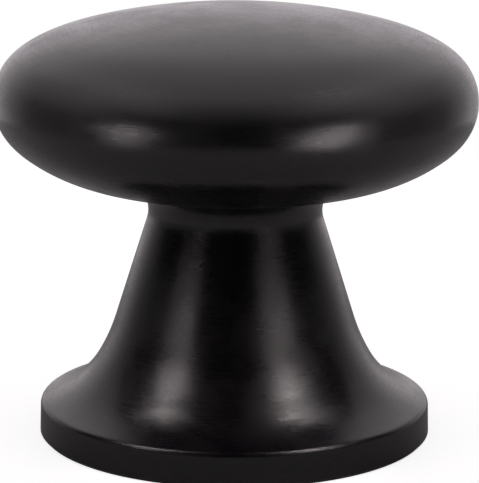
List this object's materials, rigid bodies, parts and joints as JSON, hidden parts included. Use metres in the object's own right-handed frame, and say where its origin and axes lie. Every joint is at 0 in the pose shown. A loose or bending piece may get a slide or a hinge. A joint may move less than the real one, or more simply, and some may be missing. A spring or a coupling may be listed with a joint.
{
  "type": "cabinet knob",
  "caption": "Round mushroom cabinet knob on a flared pedestal with a flanged foot, finished in satin black, fixed from behind by a machine screw.",
  "frame": {"origin": "centre of the seat, the flat foot that bears on the door or drawer front", "axes": "+Z along the knob's axis, out of the door; the knob is the same all round, so +X and +Y are free"},
  "size_m": [0.0318, 0.0318, 0.0285],
  "materials": {
    "knob": "satin black coat over die-cast zinc, with fine marks round the axis"
  },
  "bodies": {
    "root": {"knob": "knob"}
  },
  "joints": []
}
